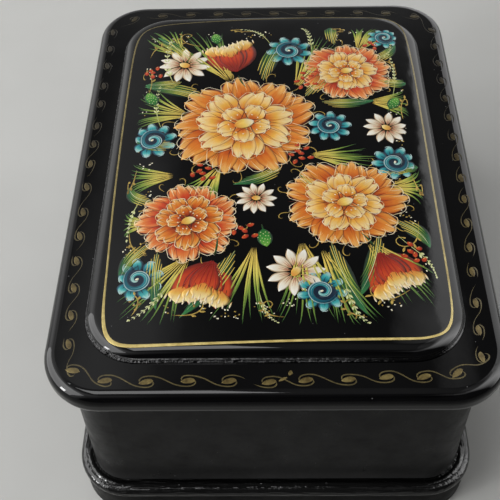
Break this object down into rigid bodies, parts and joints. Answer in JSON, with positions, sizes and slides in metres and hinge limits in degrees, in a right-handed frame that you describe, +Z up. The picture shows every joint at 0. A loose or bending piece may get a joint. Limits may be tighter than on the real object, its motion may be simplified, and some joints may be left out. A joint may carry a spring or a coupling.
{
  "type": "lacquer box",
  "caption": "Rectangular lidded box of black lacquered papier mache with rounded corners, a stepped foot, an overhanging hinged lid and a raised painted panel.",
  "frame": {"origin": "middle of the footprint, on the surface the box stands on", "axes": "+Z up; -Y towards the front of the box, +Y towards the hinge; +X to the right seen from the front"},
  "size_m": [0.09, 0.123, 0.054],
  "materials": {
    "black_lacquer": "hand polished black lacquer over papier mache",
    "scarlet_lacquer": "scarlet lacquer of the inside",
    "gold_paint": "dull powdered gold under lacquer",
    "tempera": "tempera strokes under clear lacquer",
    "brass_sheet": "thin rolled brass",
    "brass_wire": "drawn brass wire"
  },
  "bodies": {
    "box": {"body_wall": "black_lacquer", "inner_sleeve": "scarlet_lacquer", "bottom_board": "scarlet_lacquer", "plinth_frame": "black_lacquer", "base_bead": "black_lacquer", "body_hinge_leaf": "brass_sheet", "body_leaf_brads": "brass_wire", "hinge_pin": "brass_wire"},
    "lid": {"lid_plate": "black_lacquer", "lid_panel": "black_lacquer", "lid_hinge_leaf": "brass_sheet", "lid_leaf_brads": "brass_wire"}
  },
  "joints": [
    {"name": "lid_hinge", "type": "hinge", "parent": "box", "child": "lid", "pos_m": [0, 0.059, 0.04507], "axis": [-1, 0, 0], "range_deg": [0, 110]}
  ]
}
